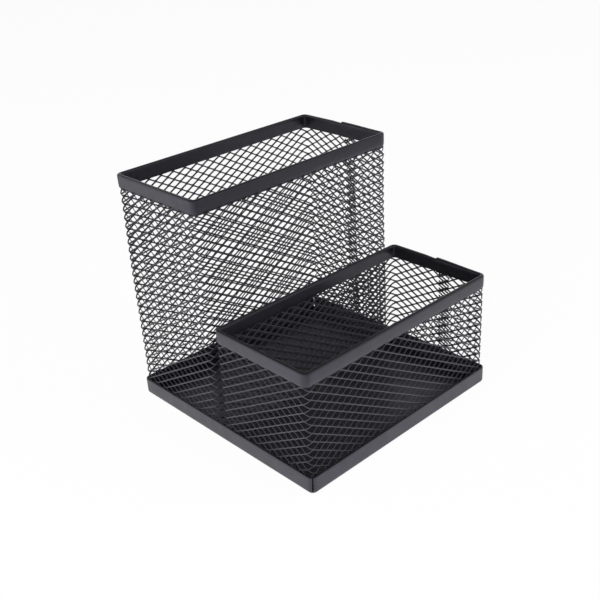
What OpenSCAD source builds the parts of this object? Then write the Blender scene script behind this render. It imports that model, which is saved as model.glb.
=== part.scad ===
// Desk pen stand of expanded metal: a tall open basket behind a short one,
// both standing in a shallow folded-sheet tray on four round pads.
// Millimetres. Origin at the middle of the footprint, on the surface the pads
// rest on. +X runs along the wide front to the right, +Y to the back, +Z up.

/* [Tray] */
// Width of the tray, left to right
tray_w = 103; // [90:0.5:130]
// Depth of the tray, front to back
tray_d = 104; // [95:0.5:130]
// Height of the tray's turned-up edge above its underside
tray_h = 7.4; // [5:0.1:15]
// Thickness of the coated tray sheet
sheet_t = 0.8; // [0.5:0.1:1]
// Outer radius of the bend between floor and edge
bend_r = 1.4; // [1.2:0.1:1.6]
// Outer radius of the tray's upright corners
tray_corner_r = 2.4; // [2:0.1:4]
// Width of the open slit where two turned-up edges meet
slit_w = 0.6; // [0.3:0.1:1]
// Height of the slit's closed end above the underside
slit_start = 1.1; // [0.9:0.1:2]

/* [Baskets] */
// Height of the tall basket's rim above the tray's underside
tall_h = 100; // [70:0.5:140]
// Height of the short basket's rim above the tray's underside
short_h = 50.5; // [30:0.5:65]
// Distance between the rims of the two baskets
basket_gap = 3.4; // [2:0.1:10]
// How far the rims stand inside the tray's left and right faces
basket_inset = 0.5; // [0.5:0.1:2]
// How far the rims stand inside the tray's front and back faces
basket_set_back = 0.9; // [0.5:0.1:2]

/* [Rims] */
// Height of the folded rim strip
rim_h = 5.2; // [4:0.1:9]
// Thickness of the rim over both of its legs
rim_t = 2.5; // [2.3:0.1:2.5]
// Thickness of the rim strip itself
strip_t = 0.6; // [0.4:0.05:0.65]
// Outer radius of the rim's corners
rim_corner_r = 2.6; // [2.6:0.1:4]
// Length over which the strip's ends overlap on the right-hand wall
strip_lap = 14; // [6:1:16]
// Rise of the overlapping end over the strip beneath it
strip_lap_t = 0.45; // [0.2:0.05:0.45]

/* [Mesh] */
// Standing thickness of the expanded metal
mesh_t = 1; // [0.6:0.1:1]
// Short way of one diamond, which is its height
mesh_swd = 6.1; // [5:0.1:9]
// Width of one strand
strand_w = 1.7; // [1.2:0.1:1.9]
// Half diamonds across a wide wall, an even number
wide_columns = 18; // [12:2:22]
// Half diamonds across a side wall, an even number
side_columns = 8; // [6:2:10]
// Thickness of the second layer where the mesh ends overlap
mesh_lap_t = 0.6; // [0.3:0.1:0.6]

/* [Pads] */
// Diameter of each round pad under the tray
pad_d = 8; // [7:0.5:12]
// Height of a pad
pad_h = 1; // [1:0.1:4]
// The pads are stuck on by hand, so each has its own place. From the tray's left or
// right face to the centres of the front left, front right, back left and back right pads
pad_in_from_side = [7.2, 5.4, 6.6, 6.2]; // [5:0.1:20]
// From the tray's front or back face to the same centres
pad_in_from_end = [6.4, 6.4, 6.8, 6.6]; // [5:0.1:20]
// Radius of the pad's lower edge
pad_edge_r = 0.3; // [0.2:0.1:0.5]

/* [Hidden] */
$fn = 48;
eps = 0.01;

coated_steel = [0.17, 0.17, 0.19];
coated_mesh = [0.24, 0.24, 0.26];
pad_foam = [0.08, 0.08, 0.09];

// Both baskets share one footprint, measured over the rims.
basket_w = tray_w - 2 * basket_inset;
basket_d = (tray_d - 2 * basket_set_back - basket_gap) / 2;
tall_y = (basket_gap + basket_d) / 2;
short_y = -tall_y;

// The mesh stands against the rim's inner leg, so its outer face is set back from the rim's.
mesh_inset = rim_t - strip_t - mesh_t;
mesh_w = basket_w - 2 * mesh_inset;
mesh_d = basket_d - 2 * mesh_inset;
mesh_bend_r = rim_corner_r - mesh_inset;
floor_z = pad_h + sheet_t;
wide_run = mesh_w - 2 * mesh_bend_r;
side_run = mesh_d - 2 * mesh_bend_r;

// Height of the mesh between the tray floor and the inside of a rim of height h.
function mesh_high(h) = pad_h + h - rim_t / 2 - floor_z;

// Rectangle with rounded corners, centred on the origin.
module rounded_rect(w, d, r) {
    square([w - 2 * r, d], center = true);
    square([w, d - 2 * r], center = true);
    for (x = [-1, 1], y = [-1, 1])
        translate([x * (w / 2 - r), y * (d / 2 - r)]) circle(r);
}

// Carries a profile round a rounded rectangle. The profile's x is the distance
// inwards from the outer face, and its y is the height.
module carried_round(w, d, r) {
    for (mx = [0, 1], my = [0, 1])
        mirror([mx, 0, 0]) mirror([0, my, 0])
            translate([w / 2 - r, d / 2 - r, 0])
                rotate_extrude(angle = 90) translate([r, 0]) mirror([1, 0]) children();
    for (mx = [0, 1])
        mirror([mx, 0, 0]) translate([w / 2, d / 2 - r, 0])
            rotate([90, 0, 0]) linear_extrude(d - 2 * r) mirror([1, 0]) children();
    for (my = [0, 1])
        mirror([0, my, 0]) translate([r - w / 2, d / 2, 0])
            rotate([90, 0, 90]) linear_extrude(w - 2 * r) mirror([1, 0]) children();
}

// Section of the tray's edge: the bend up from the floor and the upright wall.
module tray_edge_section() {
    difference() {
        translate([bend_r, bend_r]) circle(bend_r);
        translate([bend_r, bend_r]) circle(bend_r - sheet_t);
        translate([bend_r, -eps]) square(3 * bend_r);
        translate([-eps, bend_r]) square(3 * bend_r);
    }
    translate([0, bend_r]) square([sheet_t, tray_h - bend_r - sheet_t / 2]);
    translate([sheet_t / 2, tray_h - sheet_t / 2]) circle(d = sheet_t);
}

// Cutter for the slit in the back right corner, open at the top and round at the bottom.
module corner_slit() {
    translate([tray_w / 2 - tray_corner_r, tray_d / 2 - tray_corner_r, 0]) rotate([0, 0, 45]) {
        translate([0, -slit_w / 2, slit_start + slit_w / 2]) cube([2 * tray_corner_r, slit_w, tray_h]);
        translate([0, 0, slit_start + slit_w / 2]) rotate([0, 90, 0])
            cylinder(d = slit_w, h = 2 * tray_corner_r);
    }
}

// Shallow tray folded from one sheet, with its corners left open.
module base_tray() color(coated_steel) translate([0, 0, pad_h]) difference() {
    union() {
        linear_extrude(sheet_t)
            rounded_rect(tray_w - 2 * bend_r, tray_d - 2 * bend_r, tray_corner_r - bend_r);
        carried_round(tray_w, tray_d, tray_corner_r) tray_edge_section();
    }
    for (mx = [0, 1], my = [0, 1])
        mirror([mx, 0, 0]) mirror([0, my, 0]) corner_slit();
}

// Round pad n with a softened lower edge. sx and sy pick the corner it sits under.
module pad(n, sx, sy) color(pad_foam)
    translate([sx * (tray_w / 2 - pad_in_from_side[n]), sy * (tray_d / 2 - pad_in_from_end[n]), 0])
    rotate_extrude() {
        square([pad_d / 2 - pad_edge_r, pad_h]);
        translate([0, pad_edge_r]) square([pad_d / 2, pad_h - pad_edge_r]);
        translate([pad_d / 2 - pad_edge_r, pad_edge_r]) circle(pad_edge_r);
    }

// Room between the rim's legs, where the top of the mesh is held.
module rim_groove() {
    translate([strip_t, -1]) square([rim_t - 2 * strip_t, rim_h - rim_t / 2 + 1]);
    translate([rim_t / 2, rim_h - rim_t / 2]) circle(d = rim_t - 2 * strip_t);
}

// Section of the rim: an inverted U with a half-round top, grown all round by extra.
module rim_section(extra = 0) difference() {
    union() {
        translate([-extra, 0]) square([rim_t + 2 * extra, rim_h - rim_t / 2]);
        translate([rim_t / 2, rim_h - rim_t / 2]) circle(d = rim_t + 2 * extra);
    }
    rim_groove();
}

// Rim strip folded over the top of a basket of height h. Its ends overlap on the
// right-hand wall, from the middle of that wall forwards.
module rim(y, h) color(coated_steel) translate([0, y, pad_h + h - rim_h]) {
    carried_round(basket_w, basket_d, rim_corner_r) rim_section();
    translate([basket_w / 2, 0, 0]) rotate([90, 0, 0])
        linear_extrude(strip_lap) mirror([1, 0]) rim_section(strip_lap_t);
}

// Flat expanded metal: a plate with staggered diamond openings. Strands cross at
// both upright edges, at whole multiples of the short way from the bottom.
module diamond_mesh(len, high, columns) {
    half_l = len / columns;
    half_s = mesh_swd / 2;
    in_radius = half_l * half_s / sqrt(half_l * half_l + half_s * half_s);
    open = 1 - strand_w / 2 / in_radius;
    rows = ceil(high / mesh_swd);
    difference() {
        square([len, high]);
        for (k = [0:columns], j = [0:rows]) {
            z = (j + (k % 2 == 0 ? 0.5 : 0)) * mesh_swd;
            if (z - open * half_s < high)
                translate([k * half_l, z]) scale(open)
                    polygon([[half_l, 0], [0, half_s], [-half_l, 0], [0, -half_s]]);
        }
    }
}

// Height of the solid crossing at an upright edge of a wall.
function crossing_high(len, columns) =
    let (l = len / columns, s = mesh_swd / 2)
    s * strand_w * sqrt(l * l + s * s) / (l * s);

// Where the mesh bends round a corner its crossings become short quarter rings.
module mesh_bend(high) {
    tall = crossing_high(side_run, side_columns);
    for (j = [0:floor(high / mesh_swd)]) {
        low = max(0, j * mesh_swd - tall / 2);
        top = min(high, j * mesh_swd + tall / 2);
        translate([0, 0, low]) rotate_extrude(angle = 90)
            translate([mesh_bend_r - mesh_t, 0]) square([mesh_t, top - low]);
    }
}

// Front or back wall, between the bends of the wrapped sheet.
module wide_wall(y, h, outer_y) color(coated_mesh)
    translate([-wide_run / 2, y + outer_y, floor_z]) rotate([90, 0, 0])
        linear_extrude(mesh_t) diamond_mesh(wide_run, mesh_high(h), wide_columns);

// Right-hand wall with the two bends that join it to the front and back walls.
module side_wall(y, h) color(coated_mesh) translate([0, y, floor_z]) {
    translate([mesh_w / 2 - mesh_t, -side_run / 2, 0]) rotate([90, 0, 90])
        linear_extrude(mesh_t) diamond_mesh(side_run, mesh_high(h), side_columns);
    for (my = [0, 1])
        mirror([0, my, 0]) translate([mesh_w / 2 - mesh_bend_r, side_run / 2, 0]) mesh_bend(mesh_high(h));
}

// Second layer on the inside of the right-hand wall, where the sheet's ends overlap.
// It is half a diamond wide and staggered against the first layer.
module mesh_lap(y, h) color(coated_mesh) {
    lap_w = side_run / side_columns;
    translate([mesh_w / 2 - mesh_t - mesh_lap_t, y, floor_z]) rotate([90, 0, 90]) linear_extrude(mesh_lap_t)
        translate([-lap_w, 0]) diamond_mesh(lap_w, pad_h + h - rim_h - floor_z, 1);
}

module basket_front(y, h) wide_wall(y, h, mesh_t - mesh_d / 2);
module basket_back(y, h) wide_wall(y, h, mesh_d / 2);
module basket_left(y, h) mirror([1, 0, 0]) side_wall(y, h);
module basket_right(y, h) {
    side_wall(y, h);
    mesh_lap(y, h);
}

base_tray();
pad(0, -1, -1);  // pad_front_left
pad(1, 1, -1);  // pad_front_right
pad(2, -1, 1);  // pad_back_left
pad(3, 1, 1);  // pad_back_right
basket_front(tall_y, tall_h);  // tall_mesh_front
basket_back(tall_y, tall_h);  // tall_mesh_back
basket_left(tall_y, tall_h);  // tall_mesh_left
basket_right(tall_y, tall_h);  // tall_mesh_right
rim(tall_y, tall_h);  // tall_rim
basket_front(short_y, short_h);  // short_mesh_front
basket_back(short_y, short_h);  // short_mesh_back
basket_left(short_y, short_h);  // short_mesh_left
basket_right(short_y, short_h);  // short_mesh_right
rim(short_y, short_h);  // short_rim
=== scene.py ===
"""A desk pen stand of black coated expanded steel: two open baskets in a folded tray on round pads.

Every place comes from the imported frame, and every surface is worked out as a grid of points.
"""

import math

import bmesh
import bpy
import numpy as np
from mathutils import Matrix, Vector


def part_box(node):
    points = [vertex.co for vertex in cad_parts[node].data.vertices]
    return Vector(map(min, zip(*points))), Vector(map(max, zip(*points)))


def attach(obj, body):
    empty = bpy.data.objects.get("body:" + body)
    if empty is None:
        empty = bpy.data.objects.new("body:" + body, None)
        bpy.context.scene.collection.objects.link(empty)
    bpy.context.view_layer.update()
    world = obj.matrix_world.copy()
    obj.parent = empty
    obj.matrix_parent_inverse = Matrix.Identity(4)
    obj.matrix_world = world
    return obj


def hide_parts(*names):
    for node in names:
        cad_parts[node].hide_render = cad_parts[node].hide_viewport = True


bl_info = {
    "name": "Mesh Pen Stand",
    "version": (1, 0, 0),
    "blender": (4, 5, 0),
    "location": "3D View > Sidebar > Pen Stand",
    "description": "Builds a pen stand of expanded steel baskets in a folded tray",
    "category": "Add Mesh",
}

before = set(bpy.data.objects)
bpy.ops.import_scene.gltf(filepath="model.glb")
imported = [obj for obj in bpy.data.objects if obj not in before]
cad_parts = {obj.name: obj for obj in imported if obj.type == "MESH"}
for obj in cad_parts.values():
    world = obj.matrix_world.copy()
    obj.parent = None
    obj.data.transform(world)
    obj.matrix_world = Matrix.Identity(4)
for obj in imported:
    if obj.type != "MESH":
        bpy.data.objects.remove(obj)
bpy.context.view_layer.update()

MM = 0.001
BASKETS = ("tall", "short")
WALLS = ("front", "back", "left", "right")
PADS = ("front_left", "front_right", "back_left", "back_right")


# Colours and meshes


def linear(code):
    """Turns an sRGB hex colour into the linear colour that a shader takes."""
    channels = [int(code[i : i + 2], 16) / 255 for i in (0, 2, 4)]
    return [c / 12.92 if c <= 0.04045 else ((c + 0.055) / 1.055) ** 2.4 for c in channels]


def surface(name, points, *face_groups, crease=35):
    """Makes a mesh object of a grid of points and arrays of faces, one array for each number of corners.
    The faces are turned to point outwards. Edges that turn by more than the crease angle, in degrees,
    stay sharp."""
    points = np.asarray(points, np.float32).reshape(-1, 3)
    corners = np.concatenate([group.ravel() for group in face_groups])
    counts = np.concatenate([np.full(len(group), group.shape[1]) for group in face_groups])
    mesh = bpy.data.meshes.new(name)
    mesh.vertices.add(len(points))
    mesh.vertices.foreach_set("co", points.ravel())
    mesh.loops.add(len(corners))
    mesh.loops.foreach_set("vertex_index", corners.astype(np.int32))
    mesh.polygons.add(len(counts))
    mesh.polygons.foreach_set("loop_start", (np.cumsum(counts) - counts).astype(np.int32))
    mesh.update(calc_edges=True)
    mesh.validate()
    turned = bmesh.new()
    turned.from_mesh(mesh)
    bmesh.ops.recalc_face_normals(turned, faces=turned.faces)
    turned.to_mesh(mesh)
    turned.free()
    mesh.shade_smooth()
    mesh.set_sharp_from_angle(angle=math.radians(crease))
    piece = bpy.data.objects.new(name, mesh)
    bpy.context.scene.collection.objects.link(piece)
    return piece


def fit_to_frame(piece, material, slot, *nodes):
    """Gives a finished piece its material, and lets it stand for its solids in the frame."""
    piece.data.materials.append(material)
    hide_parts(*nodes)
    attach(piece, "root")


def eased(t):
    """Rises from 0 to 1 as t does, level at both ends: 3t squared less 2t cubed."""
    t = np.clip(t, 0, 1)
    return t * t * (3 - 2 * t)


def bell(distance, width):
    """Falls off on both sides of 0 as a bell does: e to the minus square of distance over width."""
    return np.exp(-((distance / width) ** 2))


def path_length(half_w, half_d, radius):
    """Length once round a rounded rectangle: its straight sides and one full circle."""
    return 4 * (half_w - radius) + 4 * (half_d - radius) + 2 * math.pi * radius


def rounded_path(s, half_w, half_d, radius):
    """Walks a rounded rectangle anticlockwise from the middle of its right-hand side, and returns the
    points and outward directions at the distances s. The outward direction turns through a right angle
    in each corner, and the point is a corner of the inner rectangle, carried along each straight side,
    plus the radius times that direction."""
    run_x, run_y, arc = half_w - radius, half_d - radius, math.pi * radius / 2
    back = run_y + arc
    left = back + 2 * run_x + arc
    front = left + 2 * run_y + arc
    right = front + 2 * run_x + arc
    s = np.mod(s, right + run_y)
    x = run_x - np.clip(s - back, 0, 2 * run_x) + np.clip(s - front, 0, 2 * run_x)
    y = np.clip(s, 0, run_y) - np.clip(s - left, 0, 2 * run_y) + np.clip(s - right, 0, run_y)
    turned = sum(np.clip(s - side + arc, 0, arc) for side in (back, left, front, right)) / radius
    outward = np.stack([np.cos(turned), np.sin(turned)], -1)
    return np.stack([x, y], -1) + radius * outward, outward


def corner_starts(half_w, half_d, radius):
    """Distances along the same walk at which the four corner arcs begin."""
    run_x, run_y, arc = half_w - radius, half_d - radius, math.pi * radius / 2
    straight = np.array([0, 2 * run_x, 2 * run_x + 2 * run_y, 4 * run_x + 2 * run_y])
    return run_y + straight + arc * np.arange(4)


def carried(path, outward, out, height):
    """Places points beside a path: the path's point, moved outwards, at a height."""
    xy = path + outward * out[..., None]
    return np.concatenate([xy, np.broadcast_to(height, xy.shape[:-1])[..., None]], -1)


def tube_faces(rows, stations, sides):
    """Faces of rows of closed tubes, each a grid of stations by sides, and of the caps at their ends.
    A cap joins side k to side k + 1 and to the two across the section from them."""
    row = np.arange(rows)[:, None, None] * stations * sides
    station = np.arange(stations - 1)[None, :, None] * sides
    k = np.arange(sides)[None, None, :]
    here, after = row + station + k, row + station + (k + 1) % sides
    walls = np.stack([here, after, after + sides, here + sides], -1).reshape(-1, 4)
    k = np.arange(sides // 2 - 1)
    cap = np.stack([k, sides - 1 - k, sides - 2 - k, k + 1], -1)
    starts = (row.reshape(-1, 1, 1) + cap).reshape(-1, 4)
    ends = starts[:, ::-1] + (stations - 1) * sides
    return np.concatenate([walls, starts, ends])


# Sizes and colours that a user would change


class SheetSizes(bpy.types.PropertyGroup):
    long_way: bpy.props.FloatProperty(
        name="Long way", description="Length of one diamond, along the wall", default=6 * MM, unit="LENGTH"
    )
    short_way: bpy.props.FloatProperty(
        name="Short way", description="Height of one diamond", default=3.5 * MM, unit="LENGTH"
    )
    strand: bpy.props.FloatProperty(
        name="Strand", description="Width of one coated strand", default=0.76 * MM, unit="LENGTH"
    )
    thickness: bpy.props.FloatProperty(
        name="Thickness", description="Thickness of the coated sheet", default=0.36 * MM, unit="LENGTH"
    )
    lean: bpy.props.FloatProperty(
        name="Lean",
        description="How far the strands' upper edges lean out of the basket",
        default=math.radians(22),
        subtype="ANGLE",
    )
    bond: bpy.props.FloatProperty(
        name="Bond", description="Length over which two rows stay joined", default=0.65 * MM, unit="LENGTH"
    )
    knuckle: bpy.props.FloatProperty(
        name="Knuckle", description="Height between two joined rows", default=0.36 * MM, unit="LENGTH"
    )
    swing: bpy.props.FloatProperty(
        name="Swing",
        description="How far the lower row stands back at a joint",
        default=0.2 * MM,
        unit="LENGTH",
    )
    bend: bpy.props.FloatProperty(
        name="Bend", description="Radius of the sheet's upright bends", default=2.0 * MM, unit="LENGTH"
    )
    lap: bpy.props.FloatProperty(
        name="Lap", description="Overlap of the wrapped sheet's two ends", default=7 * MM, unit="LENGTH"
    )
    bulge: bpy.props.FloatProperty(
        name="Bulge", description="How far the sheet springs out below the rim", default=0.1 * MM, unit="LENGTH"
    )
    unevenness: bpy.props.FloatProperty(
        name="Unevenness", description="Sway of the hand-formed walls", default=0.25 * MM, unit="LENGTH"
    )


class RimSizes(bpy.types.PropertyGroup):
    height: bpy.props.FloatProperty(
        name="Height", description="Height of the inner leg", default=6.2 * MM, unit="LENGTH"
    )
    outer_leg: bpy.props.FloatProperty(
        name="Outer leg", description="Height of the outer leg", default=5.4 * MM, unit="LENGTH"
    )
    across: bpy.props.FloatProperty(
        name="Across", description="Thickness over the fold", default=1.7 * MM, unit="LENGTH"
    )
    strip: bpy.props.FloatProperty(
        name="Strip", description="Thickness of the coated strip", default=0.4 * MM, unit="LENGTH"
    )
    fold_out: bpy.props.FloatProperty(
        name="Outer fold", description="Radius of the fold's outer edge", default=0.8 * MM, unit="LENGTH"
    )
    fold_in: bpy.props.FloatProperty(
        name="Inner fold", description="Radius of the fold's inner edge", default=0.7 * MM, unit="LENGTH"
    )
    curl: bpy.props.FloatProperty(
        name="Curl", description="How far the outer lip turns in to the sheet", default=0.1 * MM, unit="LENGTH"
    )
    corner: bpy.props.FloatProperty(
        name="Corner", description="Outer radius of the corners", default=2.6 * MM, unit="LENGTH"
    )
    crimp: bpy.props.FloatProperty(
        name="Crimp",
        description="How far the inner lip is pressed to the sheet",
        default=0.75 * MM,
        unit="LENGTH",
    )
    seat: bpy.props.FloatProperty(
        name="Seat", description="Depth of the sheet behind the outer face", default=0.5 * MM, unit="LENGTH"
    )
    tucked: bpy.props.FloatProperty(
        name="Tucked end", description="Length of strip under the overlap", default=10 * MM, unit="LENGTH"
    )


class TraySizes(bpy.types.PropertyGroup):
    sheet: bpy.props.FloatProperty(
        name="Sheet", description="Thickness of the coated sheet", default=0.8 * MM, unit="LENGTH"
    )
    bend: bpy.props.FloatProperty(
        name="Bend", description="Outer radius between floor and edge", default=1.4 * MM, unit="LENGTH"
    )
    corner: bpy.props.FloatProperty(
        name="Corner", description="Outer radius of the upright corners", default=2.4 * MM, unit="LENGTH"
    )
    slit_top: bpy.props.FloatProperty(
        name="Slit top", description="Width of a corner slit at the top", default=1.0 * MM, unit="LENGTH"
    )
    slit_low: bpy.props.FloatProperty(
        name="Slit bottom", description="Width of a corner slit at the bottom", default=0.45 * MM, unit="LENGTH"
    )
    slit_skew: bpy.props.FloatProperty(
        name="Slit skew", description="How far a slit's top is off its bottom", default=0.5 * MM, unit="LENGTH"
    )
    slit_start: bpy.props.FloatProperty(
        name="Slit start", description="Height of a slit's closed end", default=1.1 * MM, unit="LENGTH"
    )


class PadSizes(bpy.types.PropertyGroup):
    edge: bpy.props.FloatProperty(
        name="Edge", description="Radius of the lower edge", default=0.3 * MM, unit="LENGTH"
    )
    bulge: bpy.props.FloatProperty(
        name="Bulge", description="Swell of the side under load", default=0.2 * MM, unit="LENGTH"
    )
    splay: bpy.props.FloatProperty(
        name="Splay",
        description="How far the pressed foam spreads past its cut",
        default=0.8 * MM,
        unit="LENGTH",
    )


class Finish(bpy.types.PropertyGroup):
    coat: bpy.props.FloatVectorProperty(
        name="Coat", description="Black powder coat on tray and rims", default=linear("131214"), subtype="COLOR"
    )
    sheet_coat: bpy.props.FloatVectorProperty(
        name="Sheet coat", description="The same coat on the strands", default=linear("19181A"), subtype="COLOR"
    )
    foam: bpy.props.FloatVectorProperty(
        name="Foam", description="Black foam rubber of the pads", default=linear("1C1C1D"), subtype="COLOR"
    )


class Studio(bpy.types.PropertyGroup):
    azimuth: bpy.props.FloatProperty(
        name="Azimuth",
        description="Camera's turn from the front",
        default=math.radians(-41.978),
        subtype="ANGLE",
    )
    elevation: bpy.props.FloatProperty(
        name="Elevation",
        description="Camera's height as an angle",
        default=math.radians(27.122),
        subtype="ANGLE",
    )
    roll: bpy.props.FloatProperty(
        name="Roll",
        description="Camera's turn about its own line of sight",
        default=math.radians(-3.655),
        subtype="ANGLE",
    )
    distance: bpy.props.FloatProperty(
        name="Distance", description="From the camera to the stand", default=386.36 * MM, unit="LENGTH"
    )
    aim_right: bpy.props.FloatProperty(
        name="Aim right", description="Shift of the stand to the right in view", default=6.03 * MM, unit="LENGTH"
    )
    aim_up: bpy.props.FloatProperty(
        name="Aim up", description="Shift of the stand upwards in view", default=-37.19 * MM, unit="LENGTH"
    )
    lens: bpy.props.FloatProperty(
        name="Lens", description="Focal length on a 36 mm sensor", default=53.583, unit="CAMERA"
    )


PROPERTY_GROUPS = {
    "stand_sheet": SheetSizes,
    "stand_rim": RimSizes,
    "stand_tray": TraySizes,
    "stand_pads": PadSizes,
    "stand_finish": Finish,
    "stand_studio": Studio,
}


# Places from the frame


def basket_place(name):
    """A basket's rim in the frame. The overlap on the right stands proud of the rest by the rise."""
    low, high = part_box(name + "_rim")
    rise = high.x + low.x
    rim = bpy.context.scene.stand_rim
    return {
        "half_w": -low.x,
        "half_d": (high.y - low.y) / 2,
        "y": (high.y + low.y) / 2,
        "top": high.z - rise,
        "rim_low": high.z - rise - rim.height,
        "floor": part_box(name + "_mesh_front")[0].z,
        "rise": rise,
    }


# Materials


def add_node(tree, kind, inputs=None, **settings):
    """Adds a node. Each input is given by its name, as a value or as the output that feeds it."""
    made = tree.nodes.new(kind)
    for name, value in settings.items():
        setattr(made, name, value)
    for name, value in (inputs or {}).items():
        if isinstance(value, bpy.types.NodeSocket):
            tree.links.new(value, made.inputs[name])
        else:
            made.inputs[name].default_value = value
    return made


def new_material(name):
    """An empty material with its output, and the piece's own coordinates."""
    material = bpy.data.materials.new(name)
    material.use_nodes = True
    tree = material.node_tree
    tree.nodes.clear()
    place = add_node(tree, "ShaderNodeTexCoord").outputs["Object"]
    return material, tree, place, add_node(tree, "ShaderNodeOutputMaterial")


def noise(tree, place, grain, detail=2.0):
    """Noise whose patches are about as wide as the grain, in metres."""
    inputs = {"Vector": place, "Scale": 1 / grain, "Detail": detail}
    return add_node(tree, "ShaderNodeTexNoise", inputs).outputs["Fac"]


def spread(tree, value, low, high):
    """Stretches the middle of a noise to run from low to high."""
    inputs = {"Value": value, "From Min": 0.3, "From Max": 0.7, "To Min": low, "To Max": high}
    return add_node(tree, "ShaderNodeMapRange", inputs).outputs["Result"]


def shaded(colour, factor):
    """The same colour, lighter or darker by a factor."""
    return [c * factor for c in colour] + [1]


def powder_coat(name, colour, gloss, peel):
    """Polyester powder coat, sprayed on steel as dust and baked. It melts into a thick skin that rounds
    every edge, with a semi-gloss sheen, a slow ripple called orange peel, and fine grit that never
    flowed out. The eye sees soft mirror images that waver a little."""
    cloud_width, patch_width, ripple_width, grit_width = 14 * MM, 5 * MM, 1.6 * MM, 0.25 * MM
    material, tree, place, output = new_material(name)
    cloud = noise(tree, place, cloud_width)
    tone = add_node(
        tree,
        "ShaderNodeMix",
        {"Factor": cloud, "A": shaded(colour, 0.8), "B": shaded(colour, 1.2)},
        data_type="RGBA",
    )
    roughness = spread(tree, noise(tree, place, patch_width), gloss - 0.05, gloss + 0.07)
    ripple = add_node(
        tree, "ShaderNodeBump", {"Height": noise(tree, place, ripple_width), "Distance": peel, "Strength": 1.0}
    )
    grit = add_node(
        tree,
        "ShaderNodeBump",
        {
            "Height": noise(tree, place, grit_width),
            "Distance": peel / 6,
            "Strength": 1.0,
            "Normal": ripple.outputs["Normal"],
        },
    )
    coat = add_node(
        tree,
        "ShaderNodeBsdfPrincipled",
        {
            "Base Color": tone.outputs["Result"],
            "Roughness": roughness,
            "IOR": 1.75,
            "Specular Tint": linear("EAE7FF") + [1],
            "Normal": grit.outputs["Normal"],
        },
    )
    tree.links.new(coat.outputs["BSDF"], output.inputs["Surface"])
    return material


def foam_rubber(name, colour):
    """Die-cut foam rubber: dull black, with fine open cells about a third of a millimetre wide, bumped in as
    pits. Their colour is painted darker in the pits and lighter on the cell walls, a painted shade and light, so
    that the pads show as plain dark discs."""
    cell_width, cell_depth = 0.35 * MM, 0.08 * MM
    material, tree, place, output = new_material(name)
    cells = add_node(tree, "ShaderNodeTexVoronoi", {"Vector": place, "Scale": 1 / cell_width}).outputs["Distance"]
    # Painted shade and light: darker in the cell pits and lighter on the cell walls, by the same cells that the
    # bump sinks.
    tone = add_node(
        tree,
        "ShaderNodeMix",
        {"Factor": cells, "A": shaded(colour, 0.6), "B": shaded(colour, 1.5)},
        data_type="RGBA",
    )
    pits = add_node(tree, "ShaderNodeBump", {"Height": cells, "Distance": cell_depth, "Strength": 0.8})
    foam = add_node(
        tree,
        "ShaderNodeBsdfPrincipled",
        {
            "Base Color": tone.outputs["Result"],
            "Roughness": spread(tree, noise(tree, place, 2 * MM), 0.8, 0.95),
            "Normal": pits.outputs["Normal"],
        },
    )
    tree.links.new(foam.outputs["BSDF"], output.inputs["Surface"])
    return material


# Pieces


def expanded_sheet(name, sizes, rim, place):
    """One sheet of expanded steel, wrapped round the basket, with its ends lapped on the right-hand side.

    Row j is one strand that zigzags between two heights once every long way. Even and odd rows zigzag
    against each other, so that each meets the row above at its crests and the row below at its troughs.
    Every strand is a flat ribbon that leans as a slat does, with its upper edge outermost. Inside
    the rim the lean is pressed down to a third. The wall sways by a sine times a cosine, each of both the
    distance along it and the height, and its first stretch steps back behind its last one."""
    half_long, half_short = sizes.long_way / 2, sizes.short_way / 2
    half_w, half_d = place["half_w"] - rim.seat, place["half_d"] - rim.seat
    around = path_length(half_w, half_d, sizes.bend)
    low, high = place["floor"], place["top"] - rim.height / 2
    rows = int((high - low) / half_short)

    turn = np.arange(math.ceil((around + sizes.lap) / half_long))
    steps = np.array([-sizes.bond / 2, sizes.bond / 2, half_long / 2])
    s = (turn[:, None] * half_long + steps).ravel()
    wave = (np.where(turn % 2, 1, -1)[:, None] * np.array([1, 1, 0])).ravel()
    inside = (s > 0) & (s < around + sizes.lap)
    s, wave = s[inside][None, :, None] - sizes.lap, wave[inside][None, :, None]

    across = sizes.strand / 2 * np.array([-1, -0.6, 0.6, 1, 0.6, -0.6])
    thick = sizes.thickness / 2 * np.array([0, -1, -1, 0, 1, 1])
    j = np.arange(rows)[:, None, None]
    row_z = low + (j + 0.5) * half_short
    below_rim = eased((place["rim_low"] + 1 * MM - row_z) / (3 * MM))
    lean = sizes.lean * (1 + 2 * below_rim) / 3
    sine, cosine = np.sin(lean), np.cos(lean)
    zigzag = np.where(j % 2, -wave, wave)
    height = row_z + (half_short - sizes.knuckle) / 2 * zigzag + across * cosine - thick * sine
    out = -sizes.swing / 2 * zigzag + across * sine + thick * cosine

    path, outward = rounded_path(s, half_w, half_d, sizes.bend)
    filled = (math.sqrt(2) - 1) * (sizes.bend - rim.corner + rim.seat)
    out = out + filled * (1 - below_rim) * (2 * outward[..., 0] * outward[..., 1]) ** 2
    sway = np.sin(s / (23 * MM) + row_z / (31 * MM)) * np.cos(row_z / (17 * MM) - s / (40 * MM))
    out = out + (sizes.bulge + sizes.unevenness * sway * eased((row_z - low) / (12 * MM))) * below_rim
    lapped = 1 - eased(s / (3 * MM))
    out = out - lapped * below_rim * (sizes.thickness + sizes.strand * np.abs(sine))
    points = carried(path, outward, out, height) + np.array([0, place["y"], 0])
    return surface(name, points, tube_faces(rows, s.shape[1], across.size))


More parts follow.
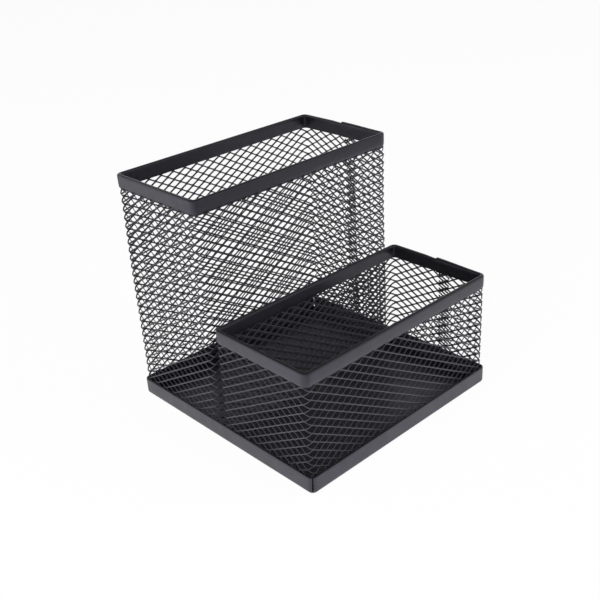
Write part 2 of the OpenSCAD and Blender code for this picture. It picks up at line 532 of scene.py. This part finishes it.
def rim_strip(name, rim, place):
    """The strip folded over a basket's top edge. Its section is an upside-down U: a centre line that
    goes up the outer leg, over two quarter circles and down the inner leg, thickened to both sides, with
    the thickness following a small half circle at each lip. The inner leg slants to the sheet, and the
    outer one turns in to it by the square of the height left. The section is carried round the rim. Its
    first stretch is pressed smaller, and its last one climbs over it. A weld dents the inner leg there
    as a bell does, and the outer face ripples by two sines that fade to the top."""
    half_t = rim.strip / 2
    lip = half_t * np.array([0.02, 0.2, 0.55])
    up_out = np.concatenate([lip, np.linspace(half_t, rim.outer_leg - rim.fold_out, 8)])
    up_in = np.concatenate([lip, np.linspace(half_t, rim.height - rim.fold_in, 7)])
    angle = np.linspace(0, math.pi, 14)[1:-1]
    fold = np.where(angle < math.pi / 2, rim.fold_out, rim.fold_in)
    middle = np.where(angle < math.pi / 2, rim.fold_out, rim.across - rim.fold_in)
    turned_in = rim.curl * np.clip(1 - up_out / (2.5 * MM), 0, 1) ** 2
    pressed = rim.crimp * (1 - up_in / (rim.height - rim.fold_in))
    over_top = middle - (fold - half_t) * np.cos(angle)
    inset = np.concatenate([half_t + turned_in, over_top, (rim.across - half_t - pressed)[::-1]])
    z = rim.height - fold + (fold - half_t) * np.sin(angle)
    from_lip = np.concatenate([up_out, z, up_in[::-1]])
    z = np.concatenate([up_out + rim.height - rim.outer_leg, z, up_in[::-1]])
    away = np.concatenate([np.full(up_out.size, 1.0), np.cos(angle), np.full(up_in.size, -1.0)])
    upward = np.concatenate([np.zeros(up_out.size), np.sin(angle), np.zeros(up_in.size)])
    half = half_t * np.sqrt(1 - (1 - np.minimum(from_lip, half_t) / half_t) ** 2)
    inset, z = np.concatenate([inset, inset[::-1]]), np.concatenate([z, z[::-1]])
    away, upward = np.concatenate([away, away[::-1]]), np.concatenate([upward, upward[::-1]])
    half = np.concatenate([half, -half[::-1]])

    around = path_length(place["half_w"], place["half_d"], rim.corner)
    arc = math.pi * rim.corner / 2
    corners = corner_starts(place["half_w"], place["half_d"], rim.corner)
    bends = (corners[:, None] + arc * np.linspace(0, 1, 9)).ravel()
    straights = np.arange(0, around, 3 * MM)
    near_bend = np.abs(straights[:, None] - corners - arc / 2).min(1) < arc / 2 + 1 * MM
    seam = np.concatenate([np.linspace(-rim.tucked, 0, 15), around - np.linspace(0, 10 * MM, 26)])
    s = np.unique(np.concatenate([bends, straights[~near_bend], seam]).round(7))[:, None]

    climb = place["half_d"] - rim.corner
    over = eased((s - around + climb) / climb)
    tucked = 1 - eased((s - 1 * MM) / (5 * MM))
    clearance = 0.3 * MM
    grown = place["rise"] * over - (rim.strip + clearance - place["rise"]) * tucked
    weld_z, weld_s, weld_depth = 1.5 * MM, around - 5 * MM, 0.3 * MM
    inner_leg = (away < 0) & (upward == 0)
    weld = weld_depth * inner_leg * bell(s - weld_s, 1.3 * MM) * bell(z - weld_z, 1.1 * MM)
    ripple_depth = 0.06 * MM
    ripple = ripple_depth * np.sin(s / (9 * MM)) * np.sin(s / (31 * MM) + 1) * (1 - z / rim.height)
    shift = half + grown - weld
    path, outward = rounded_path(s, place["half_w"], place["half_d"], rim.corner)
    out = away * shift - inset - np.abs(ripple) * (away > 0)
    points = carried(path, outward, out, place["rim_low"] + z + upward * shift)
    points = points + np.array([0, place["y"], 0])
    return surface(name, points, tube_faces(1, s.size, z.size))


def folded_tray(name, tray):
    """The tray, folded from one sheet. Its section is a centre line that leaves the floor, bends up and
    ends in a round lip, thickened to both sides and carried round the tray. Two flat faces close the
    floor. At the middle of each corner two stations stand apart by the width of the slit, and the
    faces between them are left out above the slit's closed end."""
    low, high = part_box("base_tray")
    half_w, half_d, tall = high.x, high.y, high.z - low.z
    half_t, mid = tray.sheet / 2, tray.bend - tray.sheet / 2
    angle = np.linspace(0, math.pi / 2, 7)
    wall = np.concatenate([
        np.linspace(tray.slit_start, tray.slit_start + 0.4 * MM, 4),
        np.linspace(2 * MM, tall - half_t, 6),
        tall - half_t * np.array([0.6, 0.25, 0.01]),
    ])
    wall = wall[wall > tray.bend]
    inset = np.concatenate([tray.bend - mid * np.sin(angle), np.full(wall.size, half_t)])
    z = np.concatenate([tray.bend - mid * np.cos(angle), wall])
    away = np.concatenate([np.sin(angle), np.ones(wall.size)])
    upward = np.concatenate([-np.cos(angle), np.zeros(wall.size)])
    from_lip = np.minimum(tall - z, half_t) / half_t
    half = half_t * np.sqrt(1 - (1 - from_lip) ** 2)
    count = z.size
    inset, z = np.concatenate([inset, inset[::-1]]), np.concatenate([z, z[::-1]])
    away, upward = np.concatenate([away, away[::-1]]), np.concatenate([upward, upward[::-1]])
    half = np.concatenate([half, -half[::-1]])

    arc = math.pi * tray.corner / 2
    corners = corner_starts(half_w, half_d, tray.corner)
    bends = (corners[:, None] + arc * np.array([0, 0.1, 0.2, 0.3, 0.38, 0.62, 0.7, 0.8, 0.9, 1])).ravel()
    straights = np.arange(0, path_length(half_w, half_d, tray.corner), 4 * MM)
    near_bend = np.abs(straights[:, None] - corners - arc / 2).min(1) < arc / 2 + 1 * MM
    edges = np.repeat(corners + arc / 2, 2)
    s = np.concatenate([bends, straights[~near_bend], edges])
    side = np.concatenate([np.zeros(s.size - edges.size), np.tile([-1, 1], 4)])
    order = np.lexsort((side, s))
    s, side = s[order][:, None], side[order][:, None]

    opened = eased((z - tray.slit_start) / (0.3 * MM))
    width = tray.slit_low + (tray.slit_top - tray.slit_low) * (z - tray.slit_start) / (tall - tray.slit_start)
    gap = 0.02 * MM + opened * width
    askew = tray.slit_skew * (z - tray.slit_start) / (tall - tray.slit_start) * opened * np.abs(side)
    path, outward = rounded_path(s + askew + side * gap / 2, half_w, half_d, tray.corner)
    points = carried(path, outward, away * half - inset, low.z + z + upward * half)

    stations, sides = s.size, z.size
    here = np.arange(stations)[:, None] * sides + np.arange(sides - 1)
    after = np.roll(np.arange(stations), -1)[:, None] * sides + np.arange(sides - 1)
    walls = np.stack([here, here + 1, after + 1, after], -1)
    closed_end = int(np.searchsorted(z[:count], tray.slit_start))
    above = (np.arange(sides - 1) >= closed_end) & (np.arange(sides - 1) < sides - 1 - closed_end)
    walls = walls[~((side < 0) & above)]
    k = np.arange(closed_end, count - 1)
    across = np.stack([k, k + 1, sides - 2 - k, sides - 1 - k], -1)
    left, right = (np.flatnonzero(side == value)[:, None, None] * sides for value in (-1, 1))
    flanks = np.concatenate([(left + across[:, ::-1]).reshape(-1, 4), (right + across).reshape(-1, 4)])
    left, right = left.ravel(), right.ravel()
    outer, inner = closed_end, sides - 1 - closed_end
    sill = np.stack([left + outer, right + outer, right + inner, left + inner], -1)
    ring = np.arange(stations) * sides
    return surface(name, points, walls, flanks, sill, ring[None, ::-1], ring[None, :] + sides - 1)


def round_pad(name, node, pads):
    """A round pad: an outline carried round the upright axis. It turns up from the face it rests on by a
    quarter circle, and its side swells by a half sine under the weight."""
    low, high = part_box(node)
    centre = (low + high) / 2
    radius = (high.x - low.x) / 2 + pads.splay
    angle = np.linspace(0, math.pi / 2, 6)
    side = np.linspace(pads.edge, high.z, 8)[1:]
    r = np.concatenate([radius - pads.edge * (1 - np.sin(angle)), np.full(side.size, radius)])
    z = np.concatenate([pads.edge * (1 - np.cos(angle)), side])
    r = r + pads.bulge * np.sin(math.pi * z / high.z)
    turn = np.linspace(0, 2 * math.pi, 48, endpoint=False)[:, None]
    points = np.stack(np.broadcast_arrays(centre.x + r * np.cos(turn), centre.y + r * np.sin(turn), z), -1)
    here = np.arange(turn.size)[:, None] * z.size + np.arange(z.size - 1)
    after = np.roll(here, -1, 0)
    ring = np.arange(turn.size) * z.size
    walls = np.stack([here, after, after + 1, here + 1], -1).reshape(-1, 4)
    return surface(name, points, walls, ring[None, ::-1], ring[None, :] + z.size - 1)


class StandOperator:
    """What every step of the build shares."""

    bl_options = {"REGISTER", "UNDO"}


class PENSTAND_OT_tray(StandOperator, bpy.types.Operator):
    """Folds the tray that carries both baskets"""

    bl_idname = "penstand.tray"
    bl_label = "Tray"

    def execute(self, context):
        scene = context.scene
        coat = powder_coat("powder_coated_tray", scene.stand_finish.coat, 0.36, 0.03 * MM)
        fit_to_frame(folded_tray("tray", scene.stand_tray), coat, "tray_coat", "base_tray")
        return {"FINISHED"}


class PENSTAND_OT_baskets(StandOperator, bpy.types.Operator):
    """Wraps the expanded sheet of both baskets"""

    bl_idname = "penstand.baskets"
    bl_label = "Baskets"

    def execute(self, context):
        scene = context.scene
        coat = powder_coat("powder_coated_strands", scene.stand_finish.sheet_coat, 0.4, 0.02 * MM)
        for name in BASKETS:
            place = basket_place(name)
            piece = expanded_sheet(name + "_sheet", scene.stand_sheet, scene.stand_rim, place)
            fit_to_frame(piece, coat, "mesh_coat", *(f"{name}_mesh_{wall}" for wall in WALLS))
        return {"FINISHED"}


class PENSTAND_OT_rims(StandOperator, bpy.types.Operator):
    """Folds the rim strip over both baskets"""

    bl_idname = "penstand.rims"
    bl_label = "Rims"

    def execute(self, context):
        scene = context.scene
        coat = powder_coat("powder_coated_rims", scene.stand_finish.coat, 0.34, 0.03 * MM)
        for name in BASKETS:
            piece = rim_strip(name + "_rim_strip", scene.stand_rim, basket_place(name))
            fit_to_frame(piece, coat, "rim_coat", name + "_rim")
        return {"FINISHED"}


class PENSTAND_OT_pads(StandOperator, bpy.types.Operator):
    """Puts the four round pads under the tray"""

    bl_idname = "penstand.pads"
    bl_label = "Pads"

    def execute(self, context):
        scene = context.scene
        foam = foam_rubber("foam_rubber", scene.stand_finish.foam)
        for name in PADS:
            piece = round_pad("foot_" + name, "pad_" + name, scene.stand_pads)
            fit_to_frame(piece, foam, "pad_rubber", "pad_" + name)
        return {"FINISHED"}


class PENSTAND_OT_studio(StandOperator, bpy.types.Operator):
    """Sets the white floor, the soft light and the camera"""

    bl_idname = "penstand.studio"
    bl_label = "Studio"

    def execute(self, context):
        make_floor()
        make_sky(context.scene)
        for name, side, ahead, up, size, power in (
            ("lamp_left", -0.7, -0.25, 0.55, 0.7, 9.0),
            ("lamp_right", 0.55, -0.75, 0.5, 0.6, 4.0),
        ):
            make_lamp(context.scene, name, Vector((side, ahead, up)), size, power)
        make_camera(context.scene)
        return {"FINISHED"}


def smooth_step(tree, value, start, end, low, high):
    """Goes from low to high as a value goes from start to end, level at both ends."""
    inputs = {"Value": value, "From Min": start, "From Max": end, "To Min": low, "To Max": high}
    return add_node(tree, "ShaderNodeMapRange", inputs, interpolation_type="SMOOTHSTEP").outputs["Result"]


def make_floor():
    """A wide flat disc under the stand. The camera sees it as plain white, with a little of the real
    shading left in it, so that it keeps the stand's shadow. Mirror images see it white beside the stand;
    nearer the camera and in a strip behind the stand it is turned darker by place, a painted dimming and a
    painted shadow that the lamps don't cast."""
    turn = np.linspace(0, 2 * math.pi, 64, endpoint=False)
    radius = 4
    points = np.stack([radius * np.cos(turn), radius * np.sin(turn), np.zeros(turn.size)], -1)
    floor = surface("floor", points, np.arange(turn.size)[None, :])
    material, tree, place, output = new_material("white_paper")
    paper = add_node(tree, "ShaderNodeBsdfDiffuse", {"Color": linear("F4F4F4") + [1]})
    across, ahead = add_node(tree, "ShaderNodeSeparateXYZ", {0: place}).outputs[:2]
    # Painted light for mirror images: dimmer towards the camera, and a painted shadow behind the stand, set by
    # place and not cast by any lamp.
    near = smooth_step(tree, ahead, -0.19, -0.1, 0.35, 1.0)
    painted_shadow_strip = smooth_step(tree, ahead, 0.06, 0.12, 0.0, 1.0)
    beside = smooth_step(tree, across, -0.14, -0.1, 0.0, 1.0)
    shadow = add_node(tree, "ShaderNodeMath", {0: painted_shadow_strip, 1: beside}, operation="MULTIPLY").outputs[0]
    painted_mirror_light = add_node(tree, "ShaderNodeMix", {"Factor": shadow, "A": near, "B": 0.3}).outputs["Result"]
    path = add_node(tree, "ShaderNodeLightPath")
    mirrored = path.outputs["Is Glossy Ray"]
    strength = add_node(tree, "ShaderNodeMix", {"Factor": mirrored, "A": 1.0, "B": painted_mirror_light}).outputs["Result"]
    white = add_node(tree, "ShaderNodeEmission", {"Color": (1, 1, 1, 1), "Strength": strength})
    seen = add_node(tree, "ShaderNodeMath", {0: path.outputs["Is Camera Ray"], 1: 0.95}, operation="MULTIPLY")
    share = add_node(tree, "ShaderNodeMath", {0: seen.outputs[0], 1: mirrored}, operation="MAXIMUM")
    mix = add_node(tree, "ShaderNodeMixShader", {0: share.outputs[0], 1: paper.outputs[0], 2: white.outputs[0]})
    tree.links.new(mix.outputs[0], output.inputs["Surface"])
    floor.data.materials.append(material)


def make_sky(scene):
    """The room round the stand: white for the camera, and for light and mirror images a white band a
    quarter of the way overhead, greyer below it and dark above, as under a photographer's tent."""
    world = bpy.data.worlds.new("tent")
    world.use_nodes = True
    tree = world.node_tree
    tree.nodes.clear()
    direction = add_node(tree, "ShaderNodeTexCoord").outputs["Generated"]
    up = add_node(tree, "ShaderNodeSeparateXYZ", {0: direction}).outputs["Z"]
    band = smooth_step(tree, up, 0.05, 0.25, 0.4, 1.0)
    roof = smooth_step(tree, up, 0.42, 0.56, 1.0, 0.06)
    walls = add_node(tree, "ShaderNodeMath", {0: band, 1: roof}, operation="MULTIPLY").outputs[0]
    path = add_node(tree, "ShaderNodeLightPath")
    strength = add_node(
        tree, "ShaderNodeMix", {"Factor": path.outputs["Is Camera Ray"], "A": walls, "B": 1.0}
    ).outputs["Result"]
    background = add_node(tree, "ShaderNodeBackground", {"Color": (1, 1, 1, 1), "Strength": strength})
    output = add_node(tree, "ShaderNodeOutputWorld")
    tree.links.new(background.outputs[0], output.inputs["Surface"])
    scene.world = world


def make_lamp(scene, name, place, size, power):
    """A square soft lamp that looks at the middle of the stand, and doesn't show in mirror images."""
    light = bpy.data.lights.new(name, "AREA")
    light.size = size
    light.energy = power
    lamp = bpy.data.objects.new(name, light)
    lamp.location = place
    lamp.visible_glossy = False
    lamp.rotation_euler = (Vector((0, 0, 0.05)) - place).to_track_quat("-Z", "Y").to_euler()
    scene.collection.objects.link(lamp)


def make_camera(scene):
    """The camera stands back from the stand along a line of sight given by its azimuth and elevation,
    is turned about that line by the roll, and is shifted until the stand sits where it is aimed."""
    studio = scene.stand_studio
    a, e, roll = studio.azimuth, studio.elevation, studio.roll
    back = Vector((math.sin(a) * math.cos(e), -math.cos(a) * math.cos(e), math.sin(e)))
    level = Vector((math.cos(a), math.sin(a), 0))
    upright = back.cross(level)
    right = level * math.cos(roll) + upright * math.sin(roll)
    up = upright * math.cos(roll) - level * math.sin(roll)
    tray_low = Vector((0, 0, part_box("base_tray")[0].z))
    eye = tray_low + back * studio.distance - right * studio.aim_right - up * studio.aim_up
    data = bpy.data.cameras.new("camera")
    data.lens = studio.lens
    data.clip_start = 0.01
    camera = bpy.data.objects.new("camera", data)
    camera.matrix_world = Matrix((
        (right.x, up.x, back.x, eye.x),
        (right.y, up.y, back.y, eye.y),
        (right.z, up.z, back.z, eye.z),
        (0, 0, 0, 1),
    ))
    scene.collection.objects.link(camera)
    scene.camera = camera


STEPS = (PENSTAND_OT_tray, PENSTAND_OT_baskets, PENSTAND_OT_rims, PENSTAND_OT_pads, PENSTAND_OT_studio)


class PENSTAND_PT_panel(bpy.types.Panel):
    """Lists the sizes and the steps of the build"""

    bl_idname = "PENSTAND_PT_panel"
    bl_label = "Pen Stand"
    bl_space_type = "VIEW_3D"
    bl_region_type = "UI"
    bl_category = "Pen Stand"

    def draw(self, context):
        for group in PROPERTY_GROUPS:
            box = self.layout.box()
            for name in getattr(context.scene, group).bl_rna.properties.keys():
                if name not in ("rna_type", "name"):
                    box.prop(getattr(context.scene, group), name)
        for step in STEPS:
            self.layout.operator(step.bl_idname)


def register():
    for group in PROPERTY_GROUPS.values():
        bpy.utils.register_class(group)
    for name, group in PROPERTY_GROUPS.items():
        setattr(bpy.types.Scene, name, bpy.props.PointerProperty(type=group))
    for step in STEPS:
        bpy.utils.register_class(step)
    bpy.utils.register_class(PENSTAND_PT_panel)


def unregister():
    bpy.utils.unregister_class(PENSTAND_PT_panel)
    for step in reversed(STEPS):
        bpy.utils.unregister_class(step)
    for name in PROPERTY_GROUPS:
        delattr(bpy.types.Scene, name)
    for group in PROPERTY_GROUPS.values():
        bpy.utils.unregister_class(group)


def main():
    register()
    bpy.context.scene.view_settings.view_transform = "Standard"
    bpy.ops.penstand.tray()
    bpy.ops.penstand.baskets()
    bpy.ops.penstand.rims()
    bpy.ops.penstand.pads()
    bpy.ops.penstand.studio()


if __name__ == "__main__":
    main()
